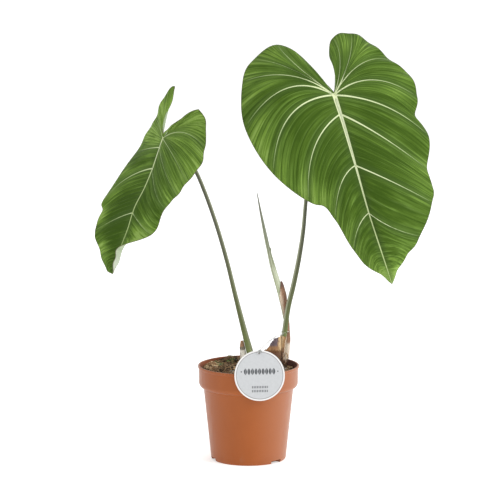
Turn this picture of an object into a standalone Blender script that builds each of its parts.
"""A potted Philodendron gloriosum, half a metre tall, in a 12 cm nursery pot.

Blender units are metres, +Z is up and the origin is the middle of the pot's flat foot. +X is the
viewer's right and -Y is the front, where the tag hangs. All sizes and points below are in
millimetres, and each mesh is scaled to metres when its object is made.
"""

import bmesh
import bpy
from math import acos, atan2, cos, exp, pi, radians, sin, sqrt
from mathutils import Matrix, Vector, noise

MM = 0.001
GAP = 0.3

# Nursery pot: 12 cm across its rim, 113 mm tall, thin plastic with a wide collar.
POT_HEIGHT = 113.0
POT_RADIUS = 60.0
POT_WALL = 1.6
POT_FLOOR = 2.0
POT_FOOT_RADIUS = 43.4
POT_SIDES = 48
LIP_HEIGHT = 3.4
COLLAR_RADIUS = 58.8
SHOULDER_TOP = 92.0
SHOULDER_FOOT = 86.0
BODY_RADIUS = 53.3
NOTCH_WIDTH = 16.0
NOTCH_HEIGHT = 3.8
NOTCH_INNER_RADIUS = 36.0
NOTCH_ANGLES = (48.0, 168.0, -72.0)

# Potting mix: its level at the wall, its mound, a rise at the back left, and the size of its lumps.
SOIL_LEVEL = 106.0
SOIL_MOUND = 3.5
SOIL_SLOPE = 1.6
SOIL_RISE = 4.8
SOIL_RISE_PLACE = (-20.0, 46.0)
SOIL_RISE_SIZE = 18.0
SOIL_LUMP = 2.6
SOIL_LUMP_SIZE = 13.0
SOIL_CRUMB = 1.3
SOIL_CRUMB_SIZE = 5.0
SOIL_RINGS = 8

# Creeping rhizome, half sunk in the soil: its line from the old end to the growing end.
RHIZOME_LINE = ((-12, 13, 110), (-2, 13.5, 112), (9, 14, 113.5), (20, 15, 114.5), (31, 16, 116),
                (39.5, 18, 116.8), (47, 21.5, 116))
RHIZOME_RADII = (2.0, 7.6, 9.2, 9.6, 10.0, 10.2, 4.5)
RHIZOME_RING_STEP = 9.0
RHIZOME_RING_HEIGHT = 0.7
RHIZOME_KNOB = 0.9

# Leaf stems: lines from inside the rhizome to just below the blade, with their radii.
STEM_LEFT_LINE = ((3.8, 14, 116), (1, 14, 128), (-5.2, 14, 152), (-15.4, 14, 193), (-25.5, 14, 235),
                  (-37.5, 14, 277), (-51, 14, 316), (-63.5, 14.5, 345), (-77, 15, 364),
                  (-91, 13, 376), (-101, 8, 382))
STEM_LEFT_RADII = (4.4, 4.2, 3.5, 2.8, 2.5, 2.4, 2.3, 2.2, 2.2, 2.1, 2.0)
STEM_RIGHT_LINE = ((39.8, 16, 119), (40.9, 16, 134), (43.3, 16, 152), (47.2, 17.5, 179),
                   (53.6, 19.3, 206), (60.1, 21.7, 238), (65, 24.8, 270), (67.9, 28, 303),
                   (71.2, 30.2, 337), (79, 31, 374), (90.4, 27, 409), (101, 20, 432))
STEM_RIGHT_RADII = (3.2, 3.2, 3.2, 3.1, 3.0, 2.8, 2.5, 2.3, 2.3, 2.2, 2.1, 2.0)
STEM_SAMPLES = 26
STEM_END = 1.6

# Blades. Each half lists its main veins from the foot of the notch round to the tip: a point
# half-way along the vein, and its end on the margin. The first ones spread from the stem's joint
# and the last ones leave the midrib at the given shares of its length.
BLADE_THICKNESS = 0.8
BLADE_ROWS = 7
FAN_CELLS = 2
LATERAL_CELLS = 4
CORNER_WIDTH = 0.3
PUFF = 2.6
PUFF_FULL_WIDTH = 26.0

LEAF_RIGHT = {
    "midrib": ((101, 20, 432), (112, 9, 398), (121, -1, 367), (130, -11, 335), (140, -23, 300),
               (150, -33, 269), (159, -42, 242), (167, -50, 218)),
    "shares": {"right": (0.09, 0.225, 0.355, 0.58, 0.77, 0.905),
               "left": (0.09, 0.225, 0.355, 0.58, 0.77, 0.905)},
    "notch": (100.8, 21.5, 435),
    "facing": (0.05, -0.95, 0.3),
    "right": (((102.5, 23, 447), (102, 32, 456)),
              ((102, 25, 459), (95.5, 43, 480)),
              ((108, 25, 470), (101, 50, 498)),
              ((118, 23, 472), (122, 53, 502)),
              ((125, 24, 474), (145, 47, 490)),
              ((132, 22, 468), (168, 39, 471)),
              ((139, 19, 460), (190, 34, 454)),
              ((146, 17, 450), (199, 27, 429)),
              ((152, 13, 436), (197, 27, 406)),
              ((160, 8, 420), (212, 15, 384)),
              ((155, -3, 386), (210, 6, 346)),
              ((163, -12, 360), (216.2, 0, 326)),
              ((170, -20, 333), (215.4, -7, 308)),
              ((167, -35, 282.5), (200.4, -22, 270)),
              ((171, -40, 259.5), (186, -32, 251)),
              ((169, -46, 235), (173.2, -42, 233))),
    "left": (((91, 22, 444), (81, 29, 455)),
             ((82, 24, 455), (62, 41, 476)),
             ((58, 23, 465), (34, 49, 489)),
             ((49, 20, 463), (6, 51, 471)),
             ((48, 18, 455), (-7, 46, 445)),
             ((44, 14, 440), (-4, 26, 392)),
             ((48, 4, 408), (29.4, 6, 339.8)),
             ((77, -7, 372), (71, -7, 308.8)),
             ((93, -13, 349), (88.5, -12, 304)),
             ((108, -20, 331), (101.7, -17, 288.5)),
             ((128.5, -34, 283), (122.9, -29, 254.6)),
             ((142.5, -41, 253.5), (139.2, -38, 236.2)),
             ((155, -46, 233.5), (153.5, -43, 228.8))),
    "scallop": {"right": 1.2, "left": 0.4},
    "wave": {"right": 2.4, "left": 1.4},
    "corners": {"right": {}, "left": {}},
}

LEAF_LEFT = {
    "midrib": ((-101, 8, 382), (-112, 4, 349), (-122, 0, 325), (-134, -6, 302), (-142, -10, 277),
               (-149, -14, 259), (-155, -16, 241), (-160, -16, 224.3)),
    "shares": {"right": (0.045, 0.153, 0.464, 0.68, 0.857),
               "left": (0.045, 0.153, 0.31, 0.464, 0.68, 0.857)},
    "notch": (-100, 9, 387),
    "facing": (-0.75, -0.62, 0.2),
    "right": (((-97, 5, 387), (-93, 2, 395)),
              ((-86, -2, 399), (-75.5, -14, 409.5)),
              ((-76, -10, 405), (-59, -26, 418.5)),
              ((-72, -18, 401), (-49, -42, 405)),
              ((-75, -26, 392), (-50, -58, 378)),
              ((-78, -32, 379), (-55, -64, 358)),
              ((-86, -36, 364), (-71, -62, 338)),
              ((-96.5, -36, 347), (-82.4, -56, 322)),
              ((-107.5, -30, 321), (-96.2, -46, 306)),
              ((-123.5, -24, 281), (-112.8, -33, 273.6)),
              ((-144.6, -20, 259), (-149.6, -28, 259.5)),
              ((-152, -20, 239), (-156.4, -26, 243.8))),
    "left": (((-101, 12, 390), (-100, 14, 398)),
             ((-95, 16, 412), (-88.8, 23, 429)),
             ((-96, 21, 415), (-88, 28, 442)),
             ((-101, 28, 405), (-102, 42, 424)),
             ((-105, 32, 393), (-110.5, 56, 401)),
             ((-110.5, 36, 384), (-119.4, 62, 386)),
             ((-120, 36, 366.5), (-134.6, 65, 359)),
             ((-143.5, 34, 332), (-171.6, 50, 306.5)),
             ((-151, 25, 309), (-174.5, 38, 291)),
             ((-158, 14, 285), (-182.2, 23, 270)),
             ((-164, -4, 255), (-175, 6, 247)),
             ((-164.5, -12, 238), (-167, -10, 229))),
    "scallop": {"right": 0.4, "left": 0.1},
    "wave": {"right": 0.8, "left": 0.7},
    "corners": {"right": {3: 2.2}, "left": {}},
}

# Rolled new leaf: its own short stem below, the rolled blade above, and its pointed tip.
SPEAR_LINE = ((44.2, 24, 118), (46.2, 25.5, 136), (45.8, 26.5, 154), (42.9, 26.5, 172),
              (38.8, 26.4, 190), (34.2, 26, 208), (28.9, 24.9, 226), (24.4, 24, 244),
              (20.5, 23, 262), (16.9, 21.8, 280), (13.4, 20.8, 298), (10.2, 20, 316))
SPEAR_RADII = (2.3, 2.3, 2.5, 3.2, 3.8, 4.1, 3.8, 2.8, 2.5, 1.9, 1.2, 0.5)
SPEAR_SIDES = 12
SPEAR_RINGS = 24
ROLL_STEP = 0.20

# Papery sheaths: a thin wall round a stem, cut to a pointed or torn top.
SHEATH_WALL = 0.7
SHEATH_PLAY = 0.15
NEW_SHEATH_TOP = 0.455
NEW_SHEATH_ROWS = 12
NEW_SHEATH_FRONTS = (-85.0, -75.0, -65.0, -58.0, -64.0, -26.0)
NEW_SHEATH_BACKS = (125.0, 120.0, 100.0, 75.0, 20.0, -14.0)
NEW_SHEATH_PEELS = (0.0, 0.0, 0.0, 0.5, 2.4, 1.0)
NEW_SHEATH_FLARES = (1.1, 0.5, 0.0, 0.0, 0.0, 0.0)
STEM_SHEATH_LINE = ((39.9, 16, 121), (40.8, 16, 133.5), (42.45, 16, 146))
STEM_SHEATH_RADIUS = 4.0
STEM_SHEATH_TOP = 0.92
STEM_SHEATH_ROWS = 5
STEM_SHEATH_TEAR = 3.0
STEM_SHEATH_TEAR_SIZE = 2.3
STEM_SHEATH_FRONT = -40.0
STEM_SHEATH_BACK = -290.0
BRACT_FOOT = ((17, 7, 119), (22, 6, 119.7), (27, 5.5, 120.3), (32, 6.2, 120.7), (38.6, 8.5, 121))
BRACT_TOP = ((17.8, 4.5, 129.6), (23.2, 3.4, 133.3), (27.6, 4, 140.5), (32, 6, 144.8), (38.6, 9.2, 146))
BRACT_WALL = 0.8
BRACT_BELLY = 1.2
BRACT_CRUMPLE = 0.9
BRACT_CRUMPLES = 11.0
STRIP_LINE = ((-5.6, 13.3, 111), (-5.8, 13.2, 118), (-6.5, 13.2, 125), (-7.3, 13.4, 132), (-7.7, 13.8, 139.5))
STRIP_HALF_WIDTHS = (4.4, 4.3, 3.6, 3.0, 1.6)
STRIP_BEND = 0.2

# Round tag: 59 mm card disc, its back against the rim's lip, its hole near the top.
TAG_RADIUS = 29.5
TAG_THICKNESS = 0.8
TAG_CENTRE_X = 13.0
TAG_CENTRE_Z = 111.7
TAG_LEAN = 10.0
TAG_TURN = 6.0
TAG_SIDES = 56
HOLE_RADIUS = 1.5
HOLE_OFFSET = 26.4

# Clear loop that hangs the tag: round the right stem, out to the tag, through its hole and back.
STRING_RADIUS = 0.4
STRING_LOOP_Z = 150.0
STRING_LOOP_CENTRE = (43.0, 16.0)
STRING_LOOP_RADIUS = 4.5
STRING_POINTS = 72

LOOKS = {
    "pot": ((0.42, 0.13, 0.055), 0.42),
    "soil": ((0.045, 0.024, 0.013), 0.95),
    "rhizome": ((0.085, 0.04, 0.02), 0.85),
    "stem": ((0.12, 0.2, 0.055), 0.5),
    "blade": ((0.035, 0.13, 0.018), 0.55),
    "new_leaf": ((0.35, 0.4, 0.2), 0.5),
    "red_sheath": ((0.28, 0.08, 0.04), 0.7),
    "tan_sheath": ((0.5, 0.27, 0.08), 0.7),
    "grey_sheath": ((0.16, 0.1, 0.1), 0.8),
    "card": ((0.7, 0.72, 0.73), 0.5),
    "nylon": ((0.75, 0.76, 0.76), 0.25),
}


def clear_scene():
    for found in list(bpy.data.objects):
        bpy.data.objects.remove(found, do_unlink=True)


def look(name):
    """The named Principled material, made when it is first needed."""
    if name in bpy.data.materials:
        return bpy.data.materials[name]
    colour, roughness = LOOKS[name]
    made = bpy.data.materials.new(name)
    made.use_nodes = True
    shader = made.node_tree.nodes["Principled BSDF"]
    shader.inputs["Base Color"].default_value = (*colour, 1.0)
    shader.inputs["Roughness"].default_value = roughness
    shader.inputs["Metallic"].default_value = 0.0
    return made


def make_object(name, bm, look_name):
    """An object in metres from a bmesh drawn in millimetres."""
    bmesh.ops.scale(bm, vec=(MM, MM, MM), verts=bm.verts)
    mesh = bpy.data.meshes.new(name)
    bm.to_mesh(mesh)
    bm.free()
    mesh.shade_smooth()
    mesh.set_sharp_from_angle(angle=radians(40))
    mesh.materials.append(look(look_name))
    made = bpy.data.objects.new(name, mesh)
    bpy.context.collection.objects.link(made)
    return made


def as_cutter(made):
    made.hide_render = True
    made.display_type = "WIRE"
    return made


def cut(target, cutter):
    step = target.modifiers.new("cut by " + cutter.name, "BOOLEAN")
    step.operation = "DIFFERENCE"
    step.solver = "EXACT"
    step.object = cutter


def thicken(target, thickness):
    step = target.modifiers.new("wall", "SOLIDIFY")
    step.thickness = thickness * MM
    step.offset = 0.0


def smooth_at(values, share):
    """The value at a share from 0 to 1 of a smooth curve through evenly spread values."""
    last = len(values) - 1
    place = min(max(share, 0.0), 1.0) * last
    i = min(int(place), last - 1)
    t = place - i
    here, there = values[i], values[i + 1]
    before = values[i - 1] if i else here * 2 - there
    after = values[i + 2] if i + 2 <= last else there * 2 - here
    slope = (there - before) * t
    bend = (before * 2 - here * 5 + there * 4 - after) * t * t
    twist = (here * 3 - before - there * 3 + after) * t ** 3
    return (here * 2 + slope + bend + twist) / 2


def vectors(points):
    return [Vector(point) for point in points]


def frame_at(line, share, reference):
    """Centre, direction, and two directions across a line, the first nearest to reference."""
    centre = smooth_at(line, share)
    ahead = (smooth_at(line, share + 0.01) - smooth_at(line, share - 0.01)).normalized()
    first = (reference - ahead * reference.dot(ahead)).normalized()
    return centre, ahead, first, ahead.cross(first)


def turned(profile, sides):
    """A closed shape turned round Z from a profile of (radius, height) that starts and ends on it."""
    bm = bmesh.new()
    line = [bm.verts.new((radius, 0.0, height)) for radius, height in profile]
    for start, end in zip(line, line[1:]):
        bm.edges.new((start, end))
    bmesh.ops.spin(bm, geom=bm.verts[:] + bm.edges[:], cent=(0, 0, 0), axis=(0, 0, 1),
                   angle=2 * pi, steps=sides, use_merge=True)
    bmesh.ops.remove_doubles(bm, verts=bm.verts, dist=0.01)
    bmesh.ops.recalc_face_normals(bm, faces=bm.faces)
    return bm


def grown(line, radii, sides, rings, reference, relief):
    """A closed rounded body along a line; relief gives a radius factor for a share and an angle."""
    bm = bmesh.new()
    bmesh.ops.create_uvsphere(bm, u_segments=sides, v_segments=rings, radius=1.0)
    for vert in bm.verts:
        share = acos(max(-1.0, min(1.0, -vert.co.z))) / pi
        centre, _, first, second = frame_at(line, share, reference)
        if abs(vert.co.z) > 0.9999:
            vert.co = centre
            continue
        angle = atan2(vert.co.y, vert.co.x)
        reach = smooth_at(radii, share) * relief(share, angle)
        vert.co = centre + (first * cos(angle) + second * sin(angle)) * reach
    bmesh.ops.recalc_face_normals(bm, faces=bm.faces)
    return bm


def tube(line, radii, samples, resolution, grow=0.0):
    """A capped round tube along a smooth line, as a bmesh in millimetres."""
    curve = bpy.data.curves.new("tube", "CURVE")
    curve.dimensions = "3D"
    curve.bevel_depth = 1.0
    curve.bevel_resolution = resolution
    curve.use_fill_caps = True
    curve.resolution_u = 1
    curve.render_resolution_u = 0
    spline = curve.splines.new("POLY")
    spline.points.add(samples - 1)
    for i, point in enumerate(spline.points):
        share = i / (samples - 1)
        point.co = (*smooth_at(line, share), 1.0)
        point.radius = smooth_at(radii, share) + grow
    holder = bpy.data.objects.new("tube", curve)
    bpy.context.collection.objects.link(holder)
    bpy.context.view_layer.update()
    mesh = bpy.data.meshes.new_from_object(holder.evaluated_get(bpy.context.evaluated_depsgraph_get()))
    bpy.data.objects.remove(holder, do_unlink=True)
    bm = bmesh.new()
    bm.from_mesh(mesh)
    bpy.data.meshes.remove(mesh)
    bmesh.ops.remove_doubles(bm, verts=bm.verts, dist=0.001)
    bmesh.ops.recalc_face_normals(bm, faces=bm.faces)
    return bm


def pot_profile():
    """Inner floor, inner wall, lip, then the outer side down to the foot."""
    inner_body = BODY_RADIUS - POT_WALL
    inner_collar = COLLAR_RADIUS - POT_WALL
    return [
        (0.0, POT_FLOOR),
        (POT_FOOT_RADIUS - 2.0, POT_FLOOR),
        (POT_FOOT_RADIUS - 0.7, POT_FLOOR + 1.4),
        (inner_body, SHOULDER_FOOT + 0.6),
        (inner_body + 1.0, SHOULDER_FOOT + 1.9),
        (inner_collar - 1.6, SHOULDER_FOOT + 3.2),
        (inner_collar - 0.4, SHOULDER_FOOT + 4.6),
        (inner_collar, SHOULDER_TOP + 1.0),
        (inner_collar + 0.7, POT_HEIGHT - 0.5),
        (inner_collar + 1.2, POT_HEIGHT),
        (POT_RADIUS - 0.6, POT_HEIGHT),
        (POT_RADIUS, POT_HEIGHT - 0.6),
        (POT_RADIUS, POT_HEIGHT - LIP_HEIGHT + 0.6),
        (COLLAR_RADIUS + 0.6, POT_HEIGHT - LIP_HEIGHT),
        (COLLAR_RADIUS, SHOULDER_TOP),
        (COLLAR_RADIUS - 0.6, SHOULDER_TOP - 2.3),
        (COLLAR_RADIUS - 2.2, SHOULDER_FOOT + 1.7),
        (BODY_RADIUS + 1.0, SHOULDER_FOOT + 0.6),
        (BODY_RADIUS, SHOULDER_FOOT - 0.8),
        (POT_FOOT_RADIUS + 1.4, 4.0),
        (POT_FOOT_RADIUS + 0.8, 1.4),
        (POT_FOOT_RADIUS - 0.6, 0.0),
        (0.0, 0.0),
    ]


def notch_cutter(number, angle):
    bm = bmesh.new()
    depth = POT_RADIUS - NOTCH_INNER_RADIUS
    size = (NOTCH_WIDTH, depth, 2 * NOTCH_HEIGHT)
    bmesh.ops.create_cube(bm, size=1.0)
    bmesh.ops.scale(bm, vec=size, verts=bm.verts)
    bmesh.ops.translate(bm, vec=(0, -NOTCH_INNER_RADIUS - depth / 2, 0), verts=bm.verts)
    bmesh.ops.rotate(bm, matrix=Matrix.Rotation(radians(angle), 3, "Z"), verts=bm.verts)
    return as_cutter(make_object("cutter_notch_%d" % number, bm, "pot"))


def make_pot():
    pot = make_object("pot", turned(pot_profile(), POT_SIDES), "pot")
    for number, angle in enumerate(NOTCH_ANGLES):
        cut(pot, notch_cutter(number, angle))


def soil_height(x, y):
    """Height of the potting mix above the foot: a low mound, higher on the left, with lumps."""
    reach = min(1.0, sqrt(x * x + y * y) / COLLAR_RADIUS)
    lumps = noise.noise(Vector((x, y, 4.0)) / SOIL_LUMP_SIZE) * SOIL_LUMP
    crumbs = noise.noise(Vector((x, y, 9.0)) / SOIL_CRUMB_SIZE) * SOIL_CRUMB
    mound = SOIL_MOUND * (1 - reach * reach) - SOIL_SLOPE * x / COLLAR_RADIUS
    away = (Vector((x, y)) - Vector(SOIL_RISE_PLACE)).length / SOIL_RISE_SIZE
    rise = SOIL_RISE * exp(-away * away)
    return SOIL_LEVEL + mound + rise + lumps + crumbs


def soil_profile():
    """The mix fills the pot, clear of its floor and wall, up to a level top that is then moved."""
    edge = COLLAR_RADIUS - POT_WALL - GAP - 0.2
    inner_body = BODY_RADIUS - POT_WALL - GAP
    top = [(edge * ring / SOIL_RINGS, SOIL_LEVEL) for ring in range(SOIL_RINGS + 1)]
    side = [
        (edge, SHOULDER_TOP + 1.2),
        (edge - 0.5, SHOULDER_FOOT + 5.2),
        (edge - 1.9, SHOULDER_FOOT + 3.9),
        (inner_body + 1.0, SHOULDER_FOOT + 2.6),
        (inner_body - 0.1, SHOULDER_FOOT + 1.2),
        (POT_FOOT_RADIUS - 1.2, POT_FLOOR + 1.7),
        (POT_FOOT_RADIUS - 2.3, POT_FLOOR + GAP),
        (0.0, POT_FLOOR + GAP),
    ]
    return top + side


def make_soil(rhizome_cutter):
    """The mix, with a bed for the rhizome."""
    bm = turned(soil_profile(), POT_SIDES)
    for vert in bm.verts:
        if vert.co.z > SHOULDER_TOP + 4.0:
            vert.co.z = soil_height(vert.co.x, vert.co.y)
    cut(make_object("soil", bm, "soil"), rhizome_cutter)


def rhizome_body(grow):
    """The creeping stem: ringed by old leaf scars and knobbly; grow makes it fatter all round."""
    line = vectors(RHIZOME_LINE)
    length = (line[-1] - line[0]).length
    radii = [radius + grow for radius in RHIZOME_RADII]
    line[0] -= (line[1] - line[0]).normalized() * grow
    line[-1] += (line[-1] - line[-2]).normalized() * grow

    def relief(share, angle):
        ring = max(0.0, sin(2 * pi * share * length / RHIZOME_RING_STEP)) ** 3
        knob = noise.noise(Vector((cos(angle) * 1.6, sin(angle) * 1.6, share * 9.0)))
        return 1.0 + (ring * RHIZOME_RING_HEIGHT + knob * RHIZOME_KNOB) / 10.0

    return grown(line, radii, 18, 20, Vector((0, 0, 1)), relief)


def root_shares(leaf, side):
    """For each vein of a half, the share of the midrib where it leaves, and 1 at the tip."""
    shares = leaf["shares"][side]
    return [0.0] * (len(leaf[side]) - len(shares) + 1) + list(shares) + [1.0]


def vein_tables(leaf, side):
    """Middles and ends of a half's veins, from the foot of the notch to the tip."""
    joint, notch = Vector(leaf["midrib"][0]), Vector(leaf["notch"])
    tip = Vector(leaf["midrib"][-1])
    middles = [(joint + notch) / 2] + [Vector(middle) for middle, _ in leaf[side]] + [tip]
    ends = [notch] + [Vector(end) for _, end in leaf[side]] + [tip]
    return middles, ends


def blade_point(leaf, side, vein, across):
    """A point of a blade half: vein counts the veins from the notch, across runs from 0 at the
    midrib to 1 at the margin. Between veins the blade puffs up, and its margin swings out. It
    comes to a point at the half's corners."""
    middles, ends = vein_tables(leaf, side)
    shares = root_shares(leaf, side)
    last = len(ends) - 1
    i = min(int(vein), last - 1)
    between = vein - i
    share = shares[i] + (shares[i + 1] - shares[i]) * between
    root = smooth_at(vectors(leaf["midrib"]), share)
    middle, end = smooth_at(middles, vein / last), smooth_at(ends, vein / last)
    bulge = sin(pi * between) ** 2
    spread = min(1.0, (ends[i + 1] - ends[i]).length / PUFF_FULL_WIDTH)
    if (end - middle).length > 0.01:
        outward = (end - middle).normalized()
        end = end + outward * leaf["scallop"][side] * bulge * spread
        for corner, height in leaf["corners"][side].items():
            end = end + outward * height * exp(-abs(vein - corner) / CORNER_WIDTH)
    point = (root * (1 - across) * (1 - 2 * across) + middle * 4 * across * (1 - across)
             + end * across * (2 * across - 1))
    puff = PUFF * bulge * spread * across * sin(pi * (across * 0.92) ** 0.8)
    wave = leaf["wave"][side] * spread * across ** 3 * sin(2 * pi * vein)
    return point + Vector(leaf["facing"]).normalized() * (puff + wave)


def column_places(leaf, side):
    """Vein counts of the mesh's columns: fewer between the fan's veins than between laterals."""
    laterals = len(leaf["shares"][side])
    fan = len(leaf[side]) - laterals
    places = [i / FAN_CELLS for i in range(fan * FAN_CELLS)]
    return places + [fan + i / LATERAL_CELLS for i in range((laterals + 1) * LATERAL_CELLS + 1)]


def blade(name, leaf, thickness):
    bm = bmesh.new()
    for side in ("left", "right"):
        places = column_places(leaf, side)
        made = bmesh.ops.create_grid(bm, x_segments=len(places) - 1, y_segments=BLADE_ROWS, size=0.5)
        for vert in made["verts"]:
            column = round((vert.co.x + 0.5) * (len(places) - 1))
            vert.co = blade_point(leaf, side, places[column], vert.co.y + 0.5)
    bmesh.ops.remove_doubles(bm, verts=bm.verts, dist=0.02)
    bmesh.ops.triangulate(bm, faces=bm.faces)
    bmesh.ops.recalc_face_normals(bm, faces=bm.faces)
    made = make_object(name, bm, "blade")
    thicken(made, thickness)
    return made


def make_leaf(side, leaf, line, radii, rhizome_cutter):
    """A blade and the stem that carries it, trimmed just clear of the blade and the rhizome."""
    blade("leaf_" + side, leaf, BLADE_THICKNESS)
    blade_cutter = as_cutter(blade("cutter_leaf_" + side, leaf, BLADE_THICKNESS + 2 * GAP))
    points = vectors(line)
    points[-1] -= (points[-1] - points[-2]).normalized() * STEM_END
    stem = make_object("petiole_" + side, tube(points, list(radii), STEM_SAMPLES, 3), "stem")
    cut(stem, blade_cutter)
    cut(stem, rhizome_cutter)


def make_new_leaf(rhizome_cutter):
    """The rolled blade on its stem, with the free edge of the roll as a step along it."""
    front = Vector((-0.4, -1, 0))

    def roll(share, angle):
        turn = (angle % (2 * pi)) / (2 * pi)
        rolled = min(1.0, max(0.0, (share - 0.25) * 8))
        return 1.0 - ROLL_STEP * rolled * turn

    bm = grown(vectors(SPEAR_LINE), list(SPEAR_RADII), SPEAR_SIDES, SPEAR_RINGS, front, roll)
    cut(make_object("new_leaf", bm, "new_leaf"), rhizome_cutter)


def wrap(line, rows, columns):
    """A sheet bent round a line. Each row is a share of the line and its two edges, which are an
    angle and a radius."""
    bm = bmesh.new()
    last = len(rows) - 1
    made = bmesh.ops.create_grid(bm, x_segments=columns, y_segments=last, size=0.5)
    for vert in made["verts"]:
        share, front, back = rows[round((vert.co.y + 0.5) * last)]
        degrees, radius = front.lerp(back, vert.co.x + 0.5)
        angle = radians(degrees)
        centre, _, first, second = frame_at(line, share, Vector((1, 0, 0)))
        vert.co = centre + (first * cos(angle) + second * sin(angle)) * radius
    bmesh.ops.triangulate(bm, faces=bm.faces)
    return bm


def make_new_sheath(rhizome_cutter):
    """The reddish sheath that the new leaf has left: half round it, peeling off near its point."""
    rows = []
    for i in range(NEW_SHEATH_ROWS + 1):
        along = i / NEW_SHEATH_ROWS
        share = NEW_SHEATH_TOP * along
        radius = smooth_at(list(SPEAR_RADII), share) + GAP + SHEATH_WALL / 2 + SHEATH_PLAY
        radius += smooth_at(NEW_SHEATH_FLARES, along)
        front = Vector((smooth_at(NEW_SHEATH_FRONTS, along), radius))
        back = Vector((smooth_at(NEW_SHEATH_BACKS, along), radius + smooth_at(NEW_SHEATH_PEELS, along)))
        rows.append((share, front, back))
    bm = wrap(vectors(SPEAR_LINE), rows, 7)
    sheath = make_object("cataphyll_new", bm, "red_sheath")
    thicken(sheath, SHEATH_WALL)
    cut(sheath, rhizome_cutter)


def make_stem_sheath(rhizome_cutter):
    """The tan dry sheath round the right stem's base, open on the right, its top edge torn in
    points."""
    line = vectors(STEM_SHEATH_LINE)
    edges = [Vector((angle, STEM_SHEATH_RADIUS)) for angle in (STEM_SHEATH_FRONT, STEM_SHEATH_BACK)]
    rows = [(STEM_SHEATH_TOP * i / STEM_SHEATH_ROWS, *edges) for i in range(STEM_SHEATH_ROWS + 1)]
    bm = wrap(line, rows, 14)
    top_row = smooth_at(line, STEM_SHEATH_TOP).z - 1.0
    for vert in bm.verts:
        if vert.co.z > top_row:
            place = Vector((vert.co.x, vert.co.y, 3.0)) / STEM_SHEATH_TEAR_SIZE
            vert.co.z += STEM_SHEATH_TEAR * noise.noise(place)
    sheath = make_object("sheath_right", bm, "tan_sheath")
    thicken(sheath, SHEATH_WALL)
    cut(sheath, rhizome_cutter)


def make_bract(rhizome_cutter):
    """The torn sheath left of the right stem: a bent triangle standing on the rhizome."""
    foot, top = vectors(BRACT_FOOT), vectors(BRACT_TOP)
    bm = bmesh.new()
    made = bmesh.ops.create_grid(bm, x_segments=8, y_segments=5, size=0.5)
    for vert in made["verts"]:
        along, up = vert.co.x + 0.5, vert.co.y + 0.5
        low, high = smooth_at(foot, along), smooth_at(top, along)
        crumple = BRACT_CRUMPLE * sin(along * BRACT_CRUMPLES) * up + BRACT_BELLY * sin(up * pi)
        vert.co = low + (high - low) * up - Vector((0, crumple, 0))
    bmesh.ops.triangulate(bm, faces=bm.faces)
    bract = make_object("bract_torn", bm, "grey_sheath")
    thicken(bract, BRACT_WALL)
    cut(bract, rhizome_cutter)


def make_left_strip(rhizome_cutter):
    """The dry strip of sheath that stands against the left stem's base, wide at its foot."""
    line = vectors(STRIP_LINE)
    bm = bmesh.new()
    made = bmesh.ops.create_grid(bm, x_segments=4, y_segments=10, size=0.5)
    for vert in made["verts"]:
        across, share = 2 * vert.co.x, vert.co.y + 0.5
        centre, _, side, back = frame_at(line, share, Vector((1, 0.2, 0)))
        half = smooth_at(list(STRIP_HALF_WIDTHS), share)
        vert.co = centre + side * across * half + back * STRIP_BEND * half * across * across
    bmesh.ops.triangulate(bm, faces=bm.faces)
    strip = make_object("sheath_left", bm, "red_sheath")
    thicken(strip, SHEATH_WALL)
    cut(strip, rhizome_cutter)


def tag_frame():
    """Centre, right, up and front directions of the tag, its back lying on the rim's lip."""
    lean, turn = radians(TAG_LEAN), radians(TAG_TURN)
    front = Vector((sin(turn) * cos(lean), -cos(turn) * cos(lean), sin(lean)))
    up = Vector((-sin(turn) * sin(lean), cos(turn) * sin(lean), cos(lean)))
    back_reach = POT_RADIUS * cos(lean) + (POT_HEIGHT - 0.6) * sin(lean) + GAP
    reach = back_reach + TAG_THICKNESS / 2
    away = (reach - TAG_CENTRE_X * front.x - TAG_CENTRE_Z * front.z) / front.y
    return Vector((TAG_CENTRE_X, away, TAG_CENTRE_Z)), up.cross(front), up, front


def disc(radius, thickness, sides, offset):
    """A flat disc in the tag's plane, its middle offset along the tag's up direction."""
    centre, right, up, front = tag_frame()
    bm = bmesh.new()
    bmesh.ops.create_cone(bm, cap_ends=True, segments=sides, radius1=radius, radius2=radius,
                          depth=thickness)
    place = Matrix((right, up, front)).transposed().to_4x4()
    place.translation = centre + up * offset
    bmesh.ops.transform(bm, matrix=place, verts=bm.verts)
    return bm


def make_tag():
    tag = make_object("tag", disc(TAG_RADIUS, TAG_THICKNESS, TAG_SIDES, 0.0), "card")
    hole = as_cutter(make_object("cutter_hole", disc(HOLE_RADIUS, 4.0, 16, HOLE_OFFSET), "card"))
    cut(tag, hole)


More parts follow.
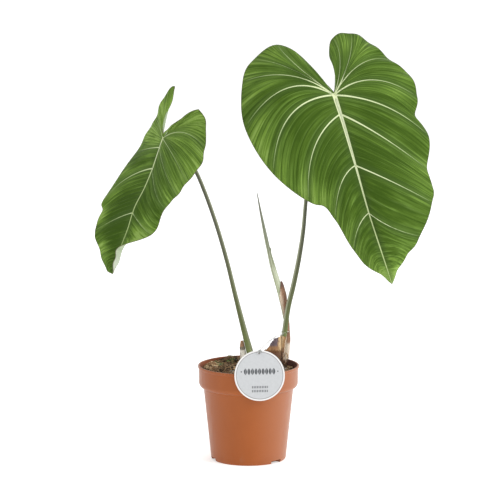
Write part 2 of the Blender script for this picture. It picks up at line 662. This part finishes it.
def string_route():
    """Round the stem, out to the tag, through the hole from behind, over its edge and back."""
    centre, right, up, front = tag_frame()

    def on_tag(across, above, ahead):
        return centre + right * across + up * above + front * ahead

    def on_loop(angle, rise):
        x, y = STRING_LOOP_CENTRE
        turn = radians(angle)
        reach = STRING_LOOP_RADIUS
        return Vector((x + reach * cos(turn), y + reach * sin(turn), STRING_LOOP_Z + rise))

    return [
        on_loop(82, 0), on_loop(115, 0), on_loop(150, 0), on_loop(185, -0.1), on_loop(212, -0.3),
        Vector((35.5, 3, 149)), Vector((29, -12, 147.4)), Vector((23, -28, 145.6)),
        Vector((17.6, -42, 142.6)),
        on_tag(0.6, 27.4, -6.0), on_tag(0.1, 26.4, -2.2), on_tag(0.0, HOLE_OFFSET, 0.0),
        on_tag(0.1, 27.0, 1.5), on_tag(0.5, 29.2, 1.8), on_tag(0.9, 31.0, 0.6),
        on_tag(1.3, 31.4, -2.0), on_tag(2.2, 32.6, -7.0),
        Vector((20.8, -41, 145.4)), Vector((27, -27, 147.8)), Vector((33.6, -11, 149)),
        Vector((40.6, 3, 149.8)), on_loop(286, 0), on_loop(320, 0), on_loop(355, 0), on_loop(30, 0),
        on_loop(64, 0),
    ]


def make_string():
    route = string_route()
    radii = [STRING_RADIUS] * len(route)
    make_object("tag_string", tube(route, radii, STRING_POINTS, 2), "nylon")


def main():
    clear_scene()
    rhizome_cutter = as_cutter(make_object("cutter_rhizome", rhizome_body(GAP), "rhizome"))
    make_object("rhizome", rhizome_body(0.0), "rhizome")
    make_pot()
    make_soil(rhizome_cutter)
    make_leaf("left", LEAF_LEFT, STEM_LEFT_LINE, STEM_LEFT_RADII, rhizome_cutter)
    make_leaf("right", LEAF_RIGHT, STEM_RIGHT_LINE, STEM_RIGHT_RADII, rhizome_cutter)
    make_new_leaf(rhizome_cutter)
    make_new_sheath(rhizome_cutter)
    make_stem_sheath(rhizome_cutter)
    make_bract(rhizome_cutter)
    make_left_strip(rhizome_cutter)
    make_tag()
    make_string()


main()
